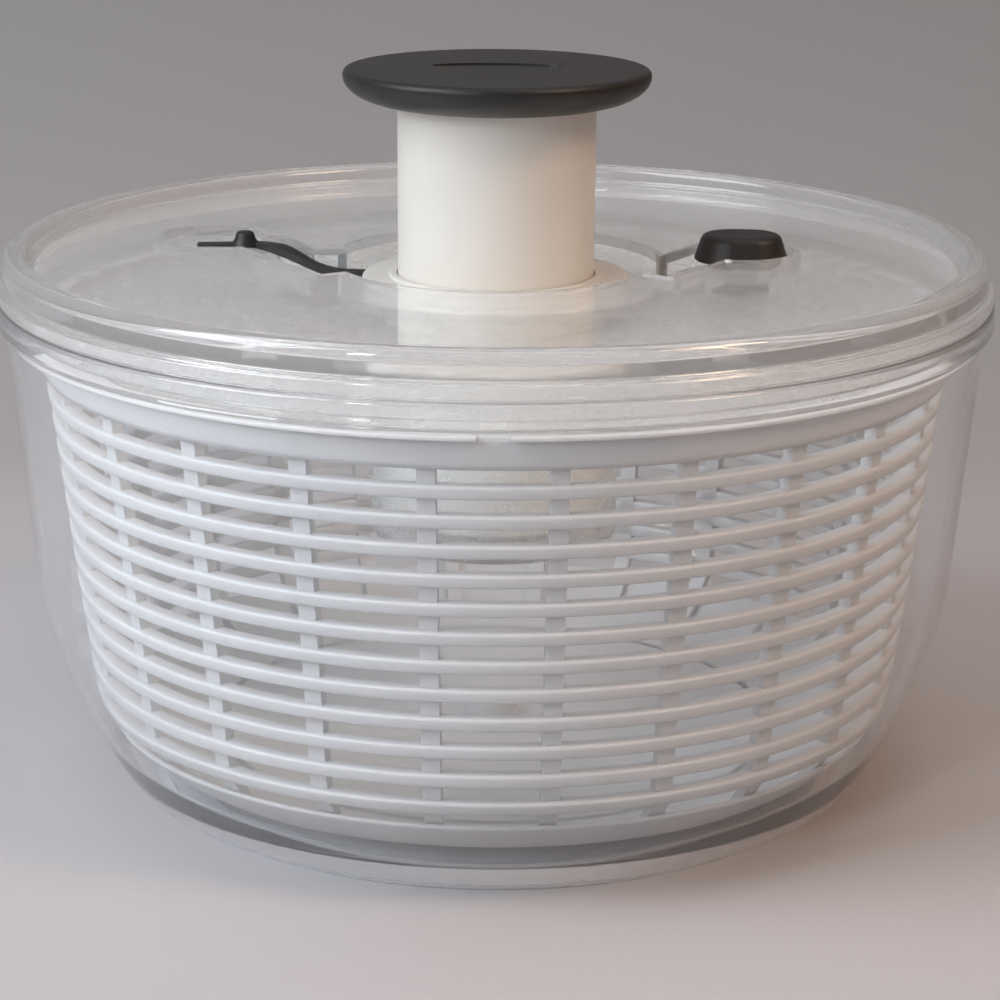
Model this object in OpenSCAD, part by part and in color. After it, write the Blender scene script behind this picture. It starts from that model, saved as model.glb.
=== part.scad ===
// Pump-action salad spinner: clear bowl, slotted basket and a clear lid that holds the
// plunger, the twisted drive shaft, the one-way clutch, the brake and the plunger lock.
// Origin: centre of the resting face. +Z up, -Y front, +X right (brake side).

/* [Bowl] */
// Height of the bowl to the top of its rim
bowl_h = 136.7; // [115:0.1:165]
// Outer radius of the rim band
bowl_rim_r = 134; // [110:0.5:162]
// Outer radius of the bowl where the curved foot meets the floor
bowl_foot_r = 100.5; // [80:0.5:122]
// Height at which the curved foot becomes the straight wall
bowl_curve_h = 70; // [50:1:90]
// Wall of the bowl
bowl_wall = 3; // [2:0.1:4]
// Thickness of the bowl's floor
bowl_floor = 3.5; // [2.5:0.1:5]
// Height of the rim band
rim_band_h = 5.7; // [4:0.1:8]
// How far the rim band stands out from the wall
rim_band_out = 2; // [1:0.1:3]
// Width of the non-slip ring under the bowl
foot_ring_w = 7; // [4:0.5:10]
// How far the non-slip ring stands below the bowl
foot_ring_drop = 0.8; // [0.4:0.1:1.5]

/* [Basket] */
// Rows of slots
slot_rows = 13; // [6:1:16]
// Upright ribs round the basket
rib_count = 24; // [12:2:30]
// Width of an upright rib
rib_w = 4.5; // [2.5:0.1:6]
// Height of the hoop between two rows of slots
hoop_h = 3.4; // [2.4:0.1:4.5]
// Depth of a hoop, from the outside of the basket inwards
hoop_depth = 4.5; // [3:0.1:5]
// Wall of the basket
basket_wall = 1.8; // [1.4:0.1:2.6]
// Radial gap between the basket's rim and the bowl
basket_gap = 3.2; // [2:0.1:8]
// Height of the plain band at the basket's mouth
mouth_band_h = 8; // [5:0.5:12]
// Gap under the basket for the water
sump_h = 6; // [4.5:0.1:12]

/* [Lid] */
// Thickness of the lid's walls
lid_wall = 2.5; // [2:0.1:3.5]
// Height of the lid's lip, from the seam to the top of the crest
lid_crest_h = 12; // [10:0.1:18]
// How far the plate lies below the crest
plate_drop = 5; // [3:0.1:7]
// Width of the crest, from its inner wall to the lip
crest_w = 8.5; // [7:0.1:12]
// Radius of the well round the hub
well_r = 44.5; // [43:0.1:50]
// Depth of the well below the plate
well_depth = 8.7; // [6.5:0.1:9.5]

/* [Plunger] */
// Radius of the knob
knob_r = 41.2; // [36:0.1:42]
// Height of the knob at its middle
knob_h = 9.2; // [8:0.1:14]
// Outer radius of the plunger tube
tube_r = 26.6; // [24:0.1:28]
// Wall of the plunger tube
tube_wall = 2.8; // [2.4:0.1:3.2]
// Travel of the plunger
pump_travel = 42.5; // [30:0.5:46]
// Advance of the twisted shaft in one turn
shaft_lead = 25; // [20:1:40]

/* [Brake and lock] */
// Distance of the brake button from the axis, across
brake_x = 67.5; // [64:0.5:75]
// Distance of the brake button from the axis, towards the back
brake_y = 13; // [0:0.5:20]
// Length of the brake button's top
button_len = 21.5; // [16:0.5:22]
// Width of the brake button's top
button_w = 17; // [14:0.5:18]
// How far the brake button stands above the plate
button_proud = 4.5; // [3.5:0.1:7]
// Travel of the brake button
brake_travel = 3; // [2:0.1:3.2]
// Turn of the lock lever, in degrees
lock_turn = 7; // [6:0.5:7]

/* [Fits] */
// Gap round parts that slide or spin past each other
run_gap = 0.3; // [0.2:0.05:0.6]
// Gap round a journal in its bush
journal_gap = 0.06; // [0.02:0.01:0.1]

/* [Hidden] */
$fn = 96;
eps = 0.01;

// Points of an arc about [cx, cy]
function arc(cx, cy, r, a0, a1, n) =
    [for (i = [0 : n]) let (a = a0 + (a1 - a0) * i / n) [cx + r * cos(a), cy + r * sin(a)]];

// Bowl
bowl_bottom = foot_ring_drop;
wall_top_r = bowl_rim_r - rim_band_out;
wall_taper = 0.088;
curve_top_r = wall_top_r - wall_taper * (bowl_h - rim_band_h - bowl_curve_h);
foot_power = 1.8;
function bowl_r(z) = z >= bowl_curve_h
    ? curve_top_r + wall_taper * (z - bowl_curve_h)
    : curve_top_r - (curve_top_r - bowl_foot_r) * pow((bowl_curve_h - z) / bowl_curve_h, foot_power);
foot_round = 5;
floor_top = bowl_bottom + bowl_floor;
floor_round = 9;
rim_round = 1;
band_low = bowl_h - rim_band_h;
band_flare = 3.5;
curve_steps = 12;
ring_in_r = bowl_foot_r - foot_round - 3 - foot_ring_w;
ring_groove = 1.6;

// Pivot in the middle of the bowl and its socket in the basket
pivot_r = 4;
pivot_foot_r = 11;
pivot_wall = 2.5;
pivot_pin_h = 6.5;
pivot_top = floor_top + sump_h + pivot_pin_h;

// Basket
basket_top = bowl_h - 8.7;
basket_bottom = floor_top + sump_h;
basket_rim_r = bowl_r(basket_top) - bowl_wall - basket_gap;
basket_mouth_r = basket_rim_r - 2.6;
basket_taper = 0.115;
basket_curve_h = 27;
basket_floor_r = bowl_foot_r - 10;
basket_floor_t = 2.2;
curve_base_z = basket_bottom + basket_curve_h;
curve_base_r = basket_mouth_r - basket_taper * (basket_top - curve_base_z);
basket_power = 2.4;
function basket_r(z) = z >= curve_base_z
    ? basket_mouth_r - basket_taper * (basket_top - z)
    : curve_base_r - (curve_base_r - basket_floor_r)
        * pow((curve_base_z - z) / basket_curve_h, basket_power);
rows_top = basket_top - mouth_band_h;
rows_bottom = basket_bottom + 12;
row_pitch = (rows_top - rows_bottom) / slot_rows;
rim_t = 1.8;
notch_count = 4;
notch_w = 8;
notch_depth = 2.2;
rib_set_back = 1.5;
rib_inset = 0.7;
top_hoop_t = 1.2;

// Lid levels
seam_gap = run_gap;
lip_low = bowl_h + seam_gap;
crest_top = lip_low + lid_crest_h;
plate_top = crest_top - plate_drop;
plate_low = plate_top - lid_wall - 0.5;
lip_r = bowl_rim_r - 0.5;
lip_h = 3.7;
crest_out_r = lip_r - 1.6;
crest_in_r = lip_r - crest_w;
plug_r = bowl_r(band_low) - bowl_wall - 0.9;
plug_low = band_low + 0.5;
well_floor = plate_top - well_depth;
well_wall = 2.5;
well_low = well_floor - well_wall;
pad_floor = plate_top - 2.8;
channel_floor = well_floor;
crest_round = 3;

// Finger recesses: one at each side, both swept towards the back
lock_pad = [-79.5, 26.9];
lock_pad_half = [13.5, 15.1];
lock_pad_round = 8;
channel_from = [43, -13];
channel_lean = 58.3;
channel_near = 9.5;
channel_far = 7;
channel_deep_r = 66;
lock_channel_len = 46;
brake_channel_len = 36;
// Outline of the recess along the lever's swept arm
lock_sweep = [[-38, -8], [-38, 16.4], [-50, 16.2], [-54.8, 18], [-61, 26], [-66.5, 31], [-70, 20], [-56, -2]];
button_flare = 2.4;
brake_pocket_r = button_len / 2 + button_flare + 1.2;

// Drive plate and its cup, hung under the lid
disc_top = basket_top - 1.5;
disc_t = 2.4;
disc_low = disc_top - disc_t;
disc_r = basket_r(disc_low) - basket_wall - 1.2;
lug_w = notch_w - 1;
lug_t = 2;
lug_top = basket_top - notch_depth + run_gap + lug_t;
cup_wall = 2;

// Plunger and knob
collar_flange_r = 36.2;
collar_flange_t = 1.6;
collar_top = well_floor + 4.2;
collar_lip_h = 0.8;
knob_rest_gap = 4.1;
collar_neck_r = tube_r + run_gap + 2.2;
knob_low = collar_top + knob_rest_gap + pump_travel;
knob_top = knob_low + knob_h;
tube_top = knob_low + 3.5;
tube_inner_r = tube_r - tube_wall;
housing_in_r = tube_r + 1.6;
housing_out_r = housing_in_r + 2;
housing_floor_t = 3;
screw_r = 1.5;
screw_head_r = 2.8;
screw_head_t = 1.6;
housing_screw_pcd_r = housing_out_r + screw_head_r + 0.2;
housing_flange_r = housing_screw_pcd_r + 3.6;
shaft_top = knob_low - pump_travel - 1.5;
nut_h = 8;
nut_low = shaft_top - nut_h - 1;
spring_solid = 13;
housing_floor = nut_low - pump_travel - spring_solid;
tube_low = housing_floor + pump_travel + 0.8;
housing_low = housing_floor - housing_floor_t;
nut_r = tube_inner_r - 0.02;
ledge_t = 2;
ledge_r = tube_inner_r - 4;
retainer_h = 2.5;

// Twisted shaft
lobe_r = 5.2;
lobe_w = 5;
nut_gap = 0.35;
shaft_low = housing_floor + 1;
journal_r = 4;
bush_r = 7;
driver_r = 9;
driver_h = 4;
driver_top = housing_low - run_gap;
driver_low = driver_top - driver_h;
ring_h = 5;
ratchet_r = 14;
ratchet_teeth = 12;
tooth_depth = 1.6;
clutch_ring_r = 18;
cup_floor_top = driver_low - 0.5;
cup_floor_t = 2.4;
cup_low = cup_floor_top - cup_floor_t;
cup_in_r = housing_out_r + 1.6;
cup_out_r = cup_in_r + cup_wall;
washer_r = 7;
washer_t = 1;
spring_turns = 7;
spring_wire = 1.4;
spring_r = 14;

// Lock lever: a strip in the recess, a swept arm, a segment under the flange and a tab
tab_t = 2.2;
tab_low = well_floor + run_gap;
tab_bite = 1.3;
tab_half = 2.75;
tab_angle = 160;
tab_gap = 0.8;
lane_half = tab_half + 1.2;
segment_in_r = collar_neck_r + 0.5;
segment_out_r = segment_in_r + 5;
segment_from = 151;
segment_to = 195;
strip_low = pad_floor + run_gap;
strip_t = 1;
arm_w = 4;
arm_root = [-segment_out_r + 2, 11];
groove_r = tube_r - tab_bite - 0.3;
lock_notch_half = 30;
notch_mid = tab_low + tab_t / 2 + pump_travel;

// Brake
stem_r = 5;
stem_sleeve_wall = 1.6;
pad_t = 2;
pad_r = 8;
foot_t = 1.6;
brake_rest_gap = 0.2;
pad_low = disc_top + brake_travel + brake_rest_gap;
foot_low = pad_low + pad_t;
sleeve_low = foot_low + foot_t + 1.3;
brake_floor = plate_top - 6;
button_top = plate_top + button_proud;
button_low = brake_floor + brake_travel + 0.3;

// Screws
knob_screw_pcd_r = 16;

module ring_of(count, radius, phase = 0) {
    for (i = [0 : count - 1]) rotate([0, 0, phase + i * 360 / count]) translate([radius, 0, 0]) children();
}

// Pilot holes of the three screws through the housing's flange, the lid and the collar
module housing_screw_holes(low, height) {
    ring_of(3, housing_screw_pcd_r) translate([0, 0, low]) cylinder(r = screw_r, h = height, $fn = 24);
}

module screw(length, radius, head_radius, head_height) {
    translate([0, 0, -eps]) cylinder(r = radius, h = length + eps, $fn = 24);
    translate([0, 0, -head_height]) cylinder(r = head_radius, h = head_height, $fn = 32);
}

module tube(outer, inner, height) {
    difference() {
        cylinder(r = outer, h = height);
        translate([0, 0, -1]) cylinder(r = inner, h = height + 2);
    }
}

// Clear bowl with a rim band, a curved foot and a pivot in the middle of its floor
module bowl() {
    outer = concat(
        [[0, bowl_bottom], [bowl_foot_r - foot_round, bowl_bottom]],
        arc(bowl_foot_r - foot_round, bowl_bottom + foot_round, foot_round, -60, -30, 2),
        [for (i = [1 : curve_steps]) let (z = bowl_curve_h * i / curve_steps) [bowl_r(z), z]],
        [[wall_top_r - wall_taper * band_flare, band_low - band_flare], [wall_top_r, band_low - 2],
         [bowl_rim_r, band_low]],
        arc(bowl_rim_r - rim_round, bowl_h - rim_round, rim_round, 0, 90, 3));
    inner_z0 = floor_top + floor_round;
    inner_r0 = bowl_r(inner_z0) - bowl_wall;
    inner = concat(
        [[bowl_r(bowl_h) - rim_band_out - bowl_wall + 1.6, bowl_h]],
        [for (i = [0 : curve_steps - 1]) let (z = band_low - (band_low - inner_z0) * i / curve_steps)
            [bowl_r(z) - bowl_wall, z]],
        [for (a = [0 : 15 : 90]) [inner_r0 - floor_round * (1 - cos(a)), inner_z0 - floor_round * sin(a)]],
        [[0, floor_top]]);
    color([0.85, 0.88, 0.9, 0.4]) difference() {
        union() {
            rotate_extrude($fn = 180) polygon(concat(outer, inner));
            translate([0, 0, floor_top - eps])
                cylinder(r1 = pivot_foot_r, r2 = pivot_r + 1, h = basket_bottom - 1 - floor_top);
            translate([0, 0, floor_top]) cylinder(r = pivot_r, h = pivot_top - pivot_r - floor_top);
            translate([0, 0, pivot_top - pivot_r]) sphere(r = pivot_r, $fn = 48);
        }
        translate([0, 0, bowl_bottom - eps]) tube(ring_in_r + foot_ring_w, ring_in_r, ring_groove);
    }
}

// Soft ring pressed into a groove under the bowl
module base_ring() {
    color([0.75, 0.76, 0.78]) tube(ring_in_r + foot_ring_w, ring_in_r, bowl_bottom - eps + ring_groove);
}

// Profile of a band of basket wall between two heights, as thick as given, set back by back
module wall_band(low, high, thick, back = 0, steps = 4) {
    zs = [for (i = [0 : steps]) low + (high - low) * i / steps];
    polygon(concat([for (z = zs) [basket_r(z) - back, z]],
        [for (i = [steps : -1 : 0]) [basket_r(zs[i]) - back - thick, zs[i]]]));
}

// Slotted basket: deep hoops joined by upright ribs set back behind them, a plain mouth band
// with a rim, and a floor
module basket() {
    hoop_phase = 180 / rib_count;
    rib_low = basket_bottom + 3;
    cup_h = rows_bottom + hoop_h / 2 - basket_bottom;
    ledge_low = rows_top - hoop_h / 2;
    color([0.93, 0.94, 0.95, 0.8]) difference() {
        union() {
            for (k = [1 : slot_rows - 1]) let (hoop_mid = rows_bottom + k * row_pitch)
                rotate_extrude($fn = 180)
                    wall_band(hoop_mid - hoop_h / 2, hoop_mid + hoop_h / 2, hoop_depth, 0, 2);
            rotate_extrude($fn = 180) polygon(concat(
                [for (i = [0 : 6]) let (z = basket_bottom + cup_h * i / 6) [basket_r(z), z]],
                [for (i = [6 : -1 : 1]) let (z = basket_bottom + cup_h * i / 6) [basket_r(z) - basket_wall, z]],
                [[basket_floor_r - basket_wall - 4, basket_bottom + basket_floor_t],
                 [0, basket_bottom + basket_floor_t], [0, basket_bottom]]));
            rotate_extrude($fn = 180) wall_band(ledge_low, basket_top, basket_wall, 0, 2);
            rotate_extrude($fn = 180) wall_band(ledge_low, ledge_low + top_hoop_t, hoop_depth - 0.5, 0.5, 1);
            translate([0, 0, basket_top - rim_t]) tube(basket_rim_r, basket_mouth_r - 1, rim_t);
            for (i = [0 : rib_count - 1]) rotate([90, 0, hoop_phase + i * 360 / rib_count])
                translate([0, 0, -rib_w / 2]) linear_extrude(height = rib_w)
                    wall_band(rib_low, ledge_low + top_hoop_t / 2, hoop_depth - rib_set_back - rib_inset,
                        rib_set_back, 12);
            translate([0, 0, basket_bottom])
                cylinder(r = pivot_r + pivot_wall, h = pivot_pin_h + run_gap + basket_wall);
        }
        translate([0, 0, basket_bottom - 1])
            cylinder(r = pivot_r + journal_gap, h = pivot_top + run_gap - basket_bottom + 1);
        ring_of(notch_count, basket_rim_r - 6) translate([0, -notch_w / 2, basket_top - notch_depth])
            cube([12, notch_w, 4]);
    }
}

// Plan of the channel from the well to the recess on the right; the left one mirrors it
module channel_plan(length) {
    translate(channel_from) rotate([0, 0, channel_lean]) translate([-8, -channel_near])
        square([length + 8, channel_near + channel_far]);
}

module lock_channel_plan() {
    mirror([1, 0, 0]) channel_plan(lock_channel_len);
    polygon(lock_sweep);
}

module lock_pad_plan(grow = 0) {
    inner = lock_pad_half - [lock_pad_round, lock_pad_round];
    translate(lock_pad) {
        for (sx = [-1, 1], sy = [-1, 1]) translate([sx * inner[0], sy * inner[1]])
            circle(r = lock_pad_round + grow);
        square([2 * (lock_pad_half[0] + grow), 2 * inner[1]], center = true);
        square([2 * inner[0], 2 * (lock_pad_half[1] + grow)], center = true);
    }
}

module brake_pocket_plan(grow = 0) {
    translate([brake_x, brake_y]) circle(r = brake_pocket_r + grow);
}

// Clear lid: flat plate, raised crest, lip over the bowl's rim, well and two finger recesses
module lid_shell() {
    profile = concat(
        [[0, plate_low], [plug_r - lid_wall, plate_low], [plug_r - lid_wall, plug_low], [plug_r, plug_low],
         [plug_r, lip_low + 3], [crest_out_r - lid_wall, lip_low + 3], [crest_out_r - lid_wall, lip_low],
         [lip_r, lip_low], [lip_r, lip_low + lip_h], [crest_out_r, lip_low + lip_h + 0.6]],
        arc(crest_out_r - crest_round, crest_top - crest_round, crest_round, 0, 90, 6),
        arc(crest_in_r + crest_round, crest_top - crest_round, crest_round, 90, 180, 6),
        [[crest_in_r, plate_top + 1.2], [crest_in_r - 1.2, plate_top], [0, plate_top]]);
    color([0.85, 0.88, 0.9, 0.35]) difference() {
        union() {
            rotate_extrude($fn = 180) polygon(profile);
            translate([0, 0, well_low]) cylinder(r = well_r + well_wall, h = plate_low - well_low + 1);
            translate([0, 0, pad_floor - 2.2]) linear_extrude(height = plate_low - pad_floor + 3.2)
                lock_pad_plan(2);
            translate([0, 0, channel_floor - 2.2]) linear_extrude(height = plate_low - channel_floor + 3.2)
                lock_channel_plan();
            translate([0, 0, brake_floor - 2.2]) linear_extrude(height = plate_low - brake_floor + 3.2) {
                channel_plan(brake_channel_len);
                brake_pocket_plan(2);
            }
            translate([brake_x, brake_y, sleeve_low])
                cylinder(r = stem_r + run_gap + stem_sleeve_wall, h = brake_floor - sleeve_low);
        }
        translate([0, 0, well_floor]) cylinder(r = well_r, h = well_depth + 5);
        translate([0, 0, well_low - 1]) cylinder(r = collar_neck_r + 0.02, h = 10);
        translate([0, 0, pad_floor]) linear_extrude(height = 9) {
            lock_pad_plan();
            lock_channel_plan();
        }
        translate([0, 0, channel_floor]) linear_extrude(height = 12) intersection() {
            lock_channel_plan();
            circle(r = channel_deep_r);
        }
        translate([0, 0, brake_floor]) linear_extrude(height = 9) {
            channel_plan(brake_channel_len);
            brake_pocket_plan();
        }
        translate([brake_x, brake_y, sleeve_low - 3]) cylinder(r = stem_r + run_gap, h = 20, $fn = 48);
        housing_screw_holes(well_low - 1, 8);
    }
}

// Block between two radii and two angles
module sector(inner, outer, from, to, height) {
    reach = outer * 2;
    mid = (from + to) / 2;
    intersection() {
        tube(outer, inner, height);
        translate([0, 0, -1]) linear_extrude(height = height + 2)
            polygon([[0, 0], for (a = [from, mid, to]) reach * [cos(a), sin(a)]]);
    }
}

// White collar seated in the well; its neck guides the plunger tube and holds the lock lever
module hub_collar() {
    slot_h = tab_low + tab_t + run_gap - well_floor;
    color("whitesmoke") difference() {
        union() {
            translate([0, 0, well_low]) tube(collar_neck_r, tube_r + run_gap, collar_top - well_low);
            translate([0, 0, well_floor]) tube(collar_flange_r - 0.8, collar_neck_r - eps,
                collar_top - collar_flange_t - well_floor + eps);
            translate([0, 0, collar_top - collar_flange_t])
                tube(collar_flange_r, collar_neck_r - eps, collar_flange_t);
            translate([0, 0, collar_top - eps]) tube(tube_r + 2.2, tube_r + run_gap, collar_lip_h);
        }
        translate([0, 0, well_floor - eps])
            sector(segment_in_r - 0.3, collar_flange_r + 2, segment_from - 3, segment_to + lock_turn + 3,
                slot_h);
        translate([0, 0, well_floor - eps])
            sector(tube_r - 2, segment_in_r + 1, tab_angle - lane_half, tab_angle + lock_turn + lane_half,
                slot_h);
        housing_screw_holes(well_floor - 1, 3.6);
    }
}

// White cup under the lid that holds the spring, the shaft and the plunger's lower end
module mechanism_housing() {
    color("whitesmoke") difference() {
        union() {
            translate([0, 0, housing_low]) cylinder(r = housing_out_r, h = well_low - housing_low);
            translate([0, 0, well_low - 2.4]) cylinder(r = housing_flange_r, h = 2.4);
        }
        translate([0, 0, housing_floor]) cylinder(r = housing_in_r, h = well_low - housing_floor + 1);
        translate([0, 0, housing_low - 1]) cylinder(r = bush_r, h = housing_floor_t + 2);
        housing_screw_holes(well_low - 4, 6);
    }
}

module housing_screws() {
    color("silver") ring_of(3, housing_screw_pcd_r) translate([0, 0, well_low - 2.4])
        screw(2.4 + well_wall + 2.4, screw_r, screw_head_r, screw_head_t);
}

module shaft_bush() {
    color("lightgray") translate([0, 0, housing_low]) tube(bush_r, journal_r + journal_gap, housing_floor_t);
}

// Side view of the lever: a thin strip that dips from the recess to the segment
module lever_side() {
    dip_from = lock_pad[0] + lock_pad_half[0] + 5.5;
    dip_to = -well_r + 2;
    steps = 10;
    function dip(x) = let (t = max(0, min(1, (x - dip_from) / (dip_to - dip_from)))) t * t * (3 - 2 * t);
    function low(x) = strip_low + (tab_low - strip_low) * dip(x);
    function thick(x) = strip_t + (tab_t - strip_t) * min(1, dip(x) * 1.6);
    xs = concat([lock_pad[0] - 9], [for (i = [0 : steps]) dip_from + (dip_to - dip_from) * i / steps], [-10]);
    polygon(concat([for (x = xs) [x, low(x)]],
        [for (i = [len(xs) - 1 : -1 : 0]) [xs[i], low(xs[i]) + thick(xs[i])]]));
}

// Plan of the strip and the swept arm
module lever_plan() {
    path = [lock_pad + [-4, -1.9], lock_pad + [12.5, -1.6], [-63.2, 21.3], [-57.3, 14], [-52, 11.8],
        [-46, 12], arm_root];
    for (i = [0 : len(path) - 2]) {
        run = path[i + 1] - path[i];
        translate(path[i]) rotate([0, 0, atan2(run[1], run[0])]) translate([0, -arm_w / 2])
            square([norm(run), arm_w]);
        translate(path[i]) circle(d = arm_w, $fn = 32);
    }
}

module lock_lever() {
    nub = lock_pad + [9.3, -1.6];
    color([0.08, 0.08, 0.08]) {
        intersection() {
            translate([0, 0, tab_low - 2]) linear_extrude(height = 12) lever_plan();
            translate([0, 60, 0]) rotate([90, 0, 0]) linear_extrude(height = 90) lever_side();
        }
        translate([0, 0, tab_low]) sector(segment_in_r, segment_out_r, segment_from, segment_to, tab_t);
        translate([0, 0, tab_low]) sector(tube_r - tab_bite, segment_in_r + 1, tab_angle - tab_half,
            tab_angle + tab_half, tab_t);
        translate([nub[0], nub[1], strip_low + eps]) cylinder(r1 = 3.6, r2 = 2.3, h = 4.4, $fn = 40);
    }
}

// Brake button: oval cap with drafted flanks, on a round stem that ends in a foot
module button_cap() {
    half = (button_len - button_w) / 2;
    tall = button_top - button_low;
    skirt = button_w / 2 + button_flare;
    for (s = [-1, 1]) translate([s * half, 0, 0]) cylinder(r1 = skirt, r2 = button_w / 2, h = tall);
    translate([-half, 0, 0]) rotate([90, 0, 90]) linear_extrude(height = 2 * half)
        polygon([[-skirt, 0], [skirt, 0], [button_w / 2, tall], [-button_w / 2, tall]]);
}

module brake_button() {
    color([0.08, 0.08, 0.08]) translate([brake_x, brake_y, 0]) {
        difference() {
            translate([0, 0, button_low]) button_cap();
            translate([0, 0, button_low - 1]) cylinder(r = 7.2, h = button_top - button_low - 1.2);
        }
        translate([0, 0, foot_low + foot_t]) cylinder(r = stem_r, h = button_top - 1 - foot_low - foot_t);
        translate([0, 0, foot_low]) cylinder(r = stem_r - 1, h = foot_t + eps);
    }
}

module brake_pad() {
    color([0.2, 0.2, 0.2]) translate([brake_x, brake_y, pad_low]) {
        cylinder(r = pad_r, h = pad_t);
        translate([0, 0, pad_t]) tube(pad_r - 1, stem_r - 1, foot_t);
    }
}

// Spring clip that stops the stem from leaving its sleeve
module brake_clip() {
    color("silver") translate([brake_x, brake_y, foot_low + foot_t]) difference() {
        tube(stem_r + 2, stem_r, 0.8);
        translate([0, -2, -1]) cube([stem_r + 3, 4, 3]);
    }
}

module spring_stack(radius, wire, low, high, turns) {
    pitch = (high - low - wire) / turns;
    for (i = [0 : turns]) translate([0, 0, low + wire / 2 + i * pitch])
        rotate_extrude($fn = 64) translate([radius, 0]) circle(r = wire / 2, $fn = 16);
}

module brake_spring() {
    color("silver") translate([brake_x, brake_y, 0])
        spring_stack(6.2, 0.7, brake_floor + 0.05, button_top - 2.25, 5);
}

// Soft black cap of the knob: flat top, bowl-shaped underside, shallow plain oval in the middle
module knob_cap() {
    edge_z = knob_top - 1.8;
    throat_r = tube_r + 0.4;
    under = [for (a = [0 : 11.25 : 80])
        [throat_r + (knob_r - throat_r) * sin(a), edge_z - (edge_z - knob_low) * cos(a)]];
    color([0.09, 0.085, 0.08]) difference() {
        rotate_extrude($fn = 144) polygon(concat([[0, knob_top - 2.6], [knob_r - 8, knob_top - 2.6],
            [throat_r, knob_low + 2.2]], under,
            arc(knob_r - 1.8, edge_z, 1.8, 0, 75, 4), [[knob_r - 3.4, knob_top], [0, knob_top]]));
        translate([0, 4, knob_top - 0.6]) intersection() {
            translate([0, -25, 0]) cylinder(r = 30.5, h = 2);
            translate([0, 25, 0]) cylinder(r = 30.5, h = 2);
        }
    }
}

// Stiff disc inside the knob, screwed to the tube's top plate
module knob_core() {
    color("gainsboro") difference() {
        rotate_extrude() polygon([[0, tube_top], [tube_r + 0.4, tube_top], [tube_r + 0.4, knob_low + 2.3],
            [knob_r - 8.3, knob_top - 2.65], [0, knob_top - 2.65]]);
        ring_of(3, knob_screw_pcd_r) translate([0, 0, tube_top - 1]) cylinder(r = screw_r, h = 4.6, $fn = 24);
    }
}

module knob_screws() {
    color("silver") ring_of(3, knob_screw_pcd_r) translate([0, 0, tube_top - 2.2])
        screw(2.2 + 2.6, screw_r, screw_head_r, screw_head_t);
}

// Plunger tube: closed top, ledge for the nut, and a guide groove with two notches for the lock
module plunger_tube() {
    color("whitesmoke") difference() {
        translate([0, 0, tube_low]) cylinder(r = tube_r, h = tube_top - tube_low, $fn = 128);
        translate([0, 0, tube_low - 1]) cylinder(r = tube_inner_r, h = nut_low + nut_h - tube_low + 1);
        translate([0, 0, nut_low + nut_h - eps]) cylinder(r = ledge_r, h = ledge_t + 2);
        translate([0, 0, nut_low + nut_h + ledge_t])
            cylinder(r = tube_inner_r, h = tube_top - 2.2 - nut_low - nut_h - ledge_t);
        ring_of(3, knob_screw_pcd_r) translate([0, 0, tube_top - 4]) cylinder(r = screw_r, h = 6, $fn = 24);
        translate([0, 0, notch_mid - tab_t / 2 - tab_gap])
            sector(groove_r, tube_r + 2, 180 - lock_notch_half, 180 + lock_notch_half, tab_t + 2 * tab_gap);
        translate([0, 0, tube_low - 1])
            sector(groove_r, tube_r + 2, tab_angle - lane_half, tab_angle + lane_half,
                notch_mid - tube_low + 1);
        translate([0, 0, tab_low - tab_gap])
            sector(groove_r, tube_r + 2, tab_angle, tab_angle + lock_turn + lane_half, tab_t + 2 * tab_gap);
    }
}

// Cross-section of the twisted shaft: a flat bar with round edges
module lobe_plan(grow = 0) {
    intersection() {
        circle(r = lobe_r + grow, $fn = 24);
        square([2 * lobe_r + 2, lobe_w + 2 * grow], center = true);
    }
}

module twist_run(low, high, grow = 0) {
    steps = ceil((high - low) / 1.5);
    translate([0, 0, low]) rotate([0, 0, -360 * low / shaft_lead])
        linear_extrude(height = high - low, twist = 360 * (high - low) / shaft_lead, slices = steps, $fn = 16)
            lobe_plan(grow);
}

// Nut with a twisted hole: it turns the shaft as the plunger goes down
module drive_nut() {
    color("dimgray") difference() {
        translate([0, 0, nut_low]) cylinder(r = nut_r, h = nut_h - 0.02);
        twist_run(nut_low - 1, nut_low + nut_h + 1, nut_gap);
    }
}

module nut_retainer() {
    color("whitesmoke") translate([0, 0, nut_low - retainer_h - 0.02]) tube(nut_r, spring_r + 3, retainer_h);
}

module return_spring() {
    color("silver") spring_stack(spring_r, spring_wire, housing_floor + 0.1, nut_low - 0.1, spring_turns);
}

// Twisted shaft with a round journal and a square end for the clutch driver
module twisted_shaft() {
    color("silver") {
        twist_run(shaft_low + 1, shaft_top);
        translate([0, 0, shaft_low - 0.7]) cylinder(r = lobe_r + 0.6, h = 2, $fn = 48);
        difference() {
            translate([0, 0, driver_low]) cylinder(r = journal_r, h = shaft_low - driver_low);
            translate([0, 0, driver_low - 1]) cylinder(r = screw_r, h = 9, $fn = 24);
        }
    }
}

// Driver disc fixed on the shaft; it carries the pawls
module clutch_driver() {
    color("dimgray") translate([0, 0, driver_low]) difference() {
        cylinder(r = driver_r, h = driver_h);
        translate([0, 0, -1]) cylinder(r = journal_r + 0.01, h = driver_h + 2);
        ring_of(3, driver_r - 2.4) translate([0, 0, -1]) cylinder(r = 0.8, h = driver_h + 2, $fn = 24);
        for (i = [0 : 2]) rotate([0, 0, i * 120]) translate([driver_r - 4.6, -2.2, 1.2])
            cube([8, 12, driver_h - 2.4]);
    }
}

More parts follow.
